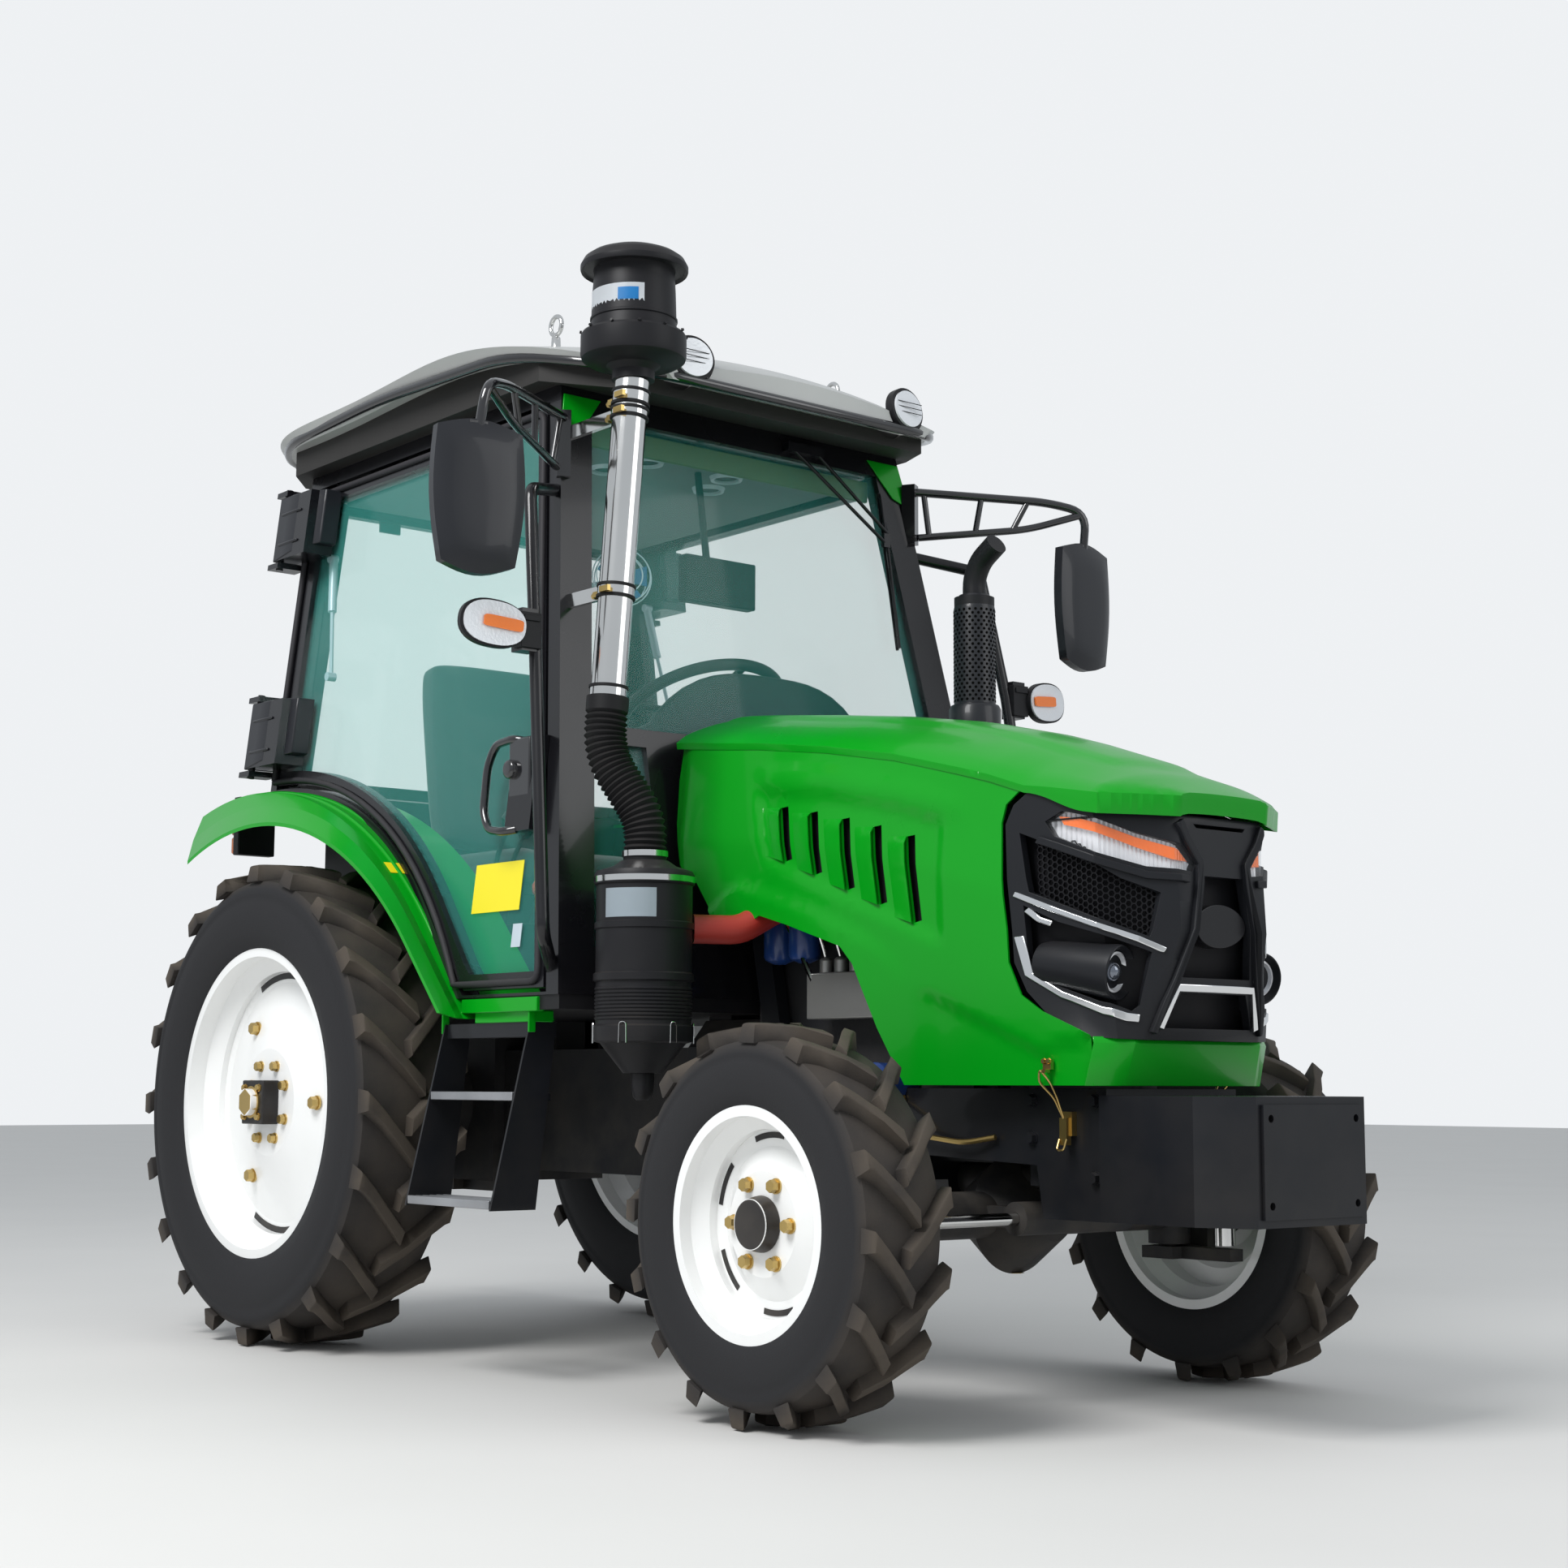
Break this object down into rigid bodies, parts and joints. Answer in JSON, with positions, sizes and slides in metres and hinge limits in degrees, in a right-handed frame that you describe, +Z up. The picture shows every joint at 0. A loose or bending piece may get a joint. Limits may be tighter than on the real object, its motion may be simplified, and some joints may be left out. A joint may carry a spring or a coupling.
{
  "type": "farm tractor with cab",
  "caption": "Compact four-wheel-drive farm tractor with a glazed cab, tilting bonnet, steered front wheels and a rear three-point hitch.",
  "frame": {"origin": "on the ground under the middle of the tractor, halfway between the weight box's face and the lower links' ends", "axes": "+X forwards, +Y to the driver's left, +Z up"},
  "size_m": [3.526, 1.9908, 2.396],
  "materials": {
    "tyre": "matte",
    "rim": "gloss",
    "black_metal": "satin",
    "castings": "satin",
    "hitch": "satin",
    "bright_steel": "satin",
    "radiator": "matte",
    "cab_black": "gloss",
    "glass": "clear",
    "roof": "satin",
    "roof_underside": "matte",
    "green": "gloss",
    "black_plastic": "matte",
    "hose": "matte",
    "red_hose": "satin",
    "polished": "polished",
    "seat": "matte",
    "lamps": "gloss"
  },
  "bodies": {
    "tractor": {"chassis_rails": "black_metal", "front_weight_box": "black_metal", "engine": "castings", "radiator": "radiator", "transmission": "castings", "rear_axle_housing": "castings", "drawbar": "black_metal", "pto": "bright_steel", "front_axle": "castings", "cab_frame": "cab_black", "windscreen": "glass", "cab_floor": "black_metal", "roof": "roof", "roof_underside": "roof_underside", "fenders": "green", "steps": "black_metal", "hood_stand": "black_metal", "air_cleaner": "black_plastic", "intake_hose": "hose", "intake_pipe": "polished", "precleaner": "black_plastic", "engine_hose": "red_hose", "exhaust": "black_metal", "seat": "seat", "dashboard": "black_plastic", "mirrors": "black_plastic", "grab_bars": "black_metal", "cab_lamps": "lamps"},
    "rear_wheel_right": {"tyre_rear_right": "tyre", "rim_rear_right": "rim"},
    "rear_wheel_left": {"tyre_rear_left": "tyre", "rim_rear_left": "rim"},
    "front_wheel_right": {"tyre_front_right": "tyre", "rim_front_right": "rim"},
    "front_wheel_left": {"tyre_front_left": "tyre", "rim_front_left": "rim"},
    "knuckle_right": {"knuckle_right": "castings"},
    "knuckle_left": {"knuckle_left": "castings"},
    "steering_rod": {"steering_rod": "bright_steel"},
    "lower_links": {"lower_links": "hitch"},
    "lift_arms": {"lift_arms": "hitch"},
    "lift_rods": {"lift_rods": "hitch"},
    "hood": {"hood": "green", "hood_mask": "black_plastic", "front_lamps": "lamps"},
    "door_right": {"door_frame_right": "cab_black", "door_glass_right": "glass"},
    "door_left": {"door_frame_left": "cab_black", "door_glass_left": "glass"},
    "rear_window": {"rear_window_frame": "cab_black", "rear_window_glass": "glass"},
    "steering_wheel": {"steering_wheel": "black_plastic"}
  },
  "joints": [
    {"name": "rear_wheel_right_roll", "type": "hinge", "parent": "tractor", "child": "rear_wheel_right", "pos_m": [-0.833, -0.6, 0.572], "axis": [0, 1, 0], "continuous": true},
    {"name": "rear_wheel_left_roll", "type": "hinge", "parent": "tractor", "child": "rear_wheel_left", "pos_m": [-0.833, 0.6, 0.572], "axis": [0, 1, 0], "continuous": true},
    {"name": "steer_right", "type": "hinge", "parent": "tractor", "child": "knuckle_right", "pos_m": [1.018, -0.455, 0.366], "axis": [0, 0, 1], "range_deg": [-38, 38]},
    {"name": "steer_left", "type": "hinge", "parent": "tractor", "child": "knuckle_left", "pos_m": [1.018, 0.455, 0.366], "axis": [0, 0, 1], "range_deg": [-38, 38]},
    {"name": "front_wheel_right_roll", "type": "hinge", "parent": "knuckle_right", "child": "front_wheel_right", "pos_m": [1.018, -0.6, 0.366], "axis": [0, 1, 0], "continuous": true},
    {"name": "front_wheel_left_roll", "type": "hinge", "parent": "knuckle_left", "child": "front_wheel_left", "pos_m": [1.018, 0.6, 0.366], "axis": [0, 1, 0], "continuous": true},
    {"name": "steering_rod_slide", "type": "slide", "parent": "tractor", "child": "steering_rod", "axis": [0, 1, 0], "range_m": [-0.093, 0.093]},
    {"name": "steering_wheel_turn", "type": "hinge", "parent": "tractor", "child": "steering_wheel", "pos_m": [-0.0289, 0, 1.4904], "axis": [-0.4695, 0, 0.8829], "continuous": true},
    {"name": "hood_open", "type": "hinge", "parent": "tractor", "child": "hood", "pos_m": [0.337, 0, 1.36], "axis": [0, -1, 0], "range_deg": [0, 50]},
    {"name": "door_right_open", "type": "hinge", "parent": "tractor", "child": "door_right", "pos_m": [-1.023, -0.65717, 1.35], "axis": [0, -0.1153, -0.9933], "range_deg": [0, 70]},
    {"name": "door_left_open", "type": "hinge", "parent": "tractor", "child": "door_left", "pos_m": [-1.023, 0.65717, 1.35], "axis": [0, -0.1153, 0.9933], "range_deg": [0, 70]},
    {"name": "rear_window_open", "type": "hinge", "parent": "tractor", "child": "rear_window", "pos_m": [-1.037, 0, 2.122], "axis": [0, 1, 0], "range_deg": [0, 45]},
    {"name": "lower_links_lift", "type": "hinge", "parent": "tractor", "child": "lower_links", "pos_m": [-1.023, 0, 0.42], "axis": [0, 1, 0], "range_deg": [-8, 28]},
    {"name": "lift_arms_turn", "type": "hinge", "parent": "tractor", "child": "lift_arms", "pos_m": [-1.083, 0, 0.7], "axis": [0, 1, 0], "range_deg": [-8, 28]},
    {"name": "lift_rods_turn", "type": "hinge", "parent": "lift_arms", "child": "lift_rods", "pos_m": [-1.383, 0, 0.7], "axis": [0, 1, 0], "range_deg": [-28, 8]}
  ],
  "couplings": [
    {"joint": "steer_left", "follows": "steer_right", "ratio": 1},
    {"joint": "steering_rod_slide", "follows": "steer_right", "m_per_rad": 0.1392},
    {"joint": "lift_arms_turn", "follows": "lower_links_lift", "ratio": 1},
    {"joint": "lift_rods_turn", "follows": "lower_links_lift", "ratio": -1}
  ]
}
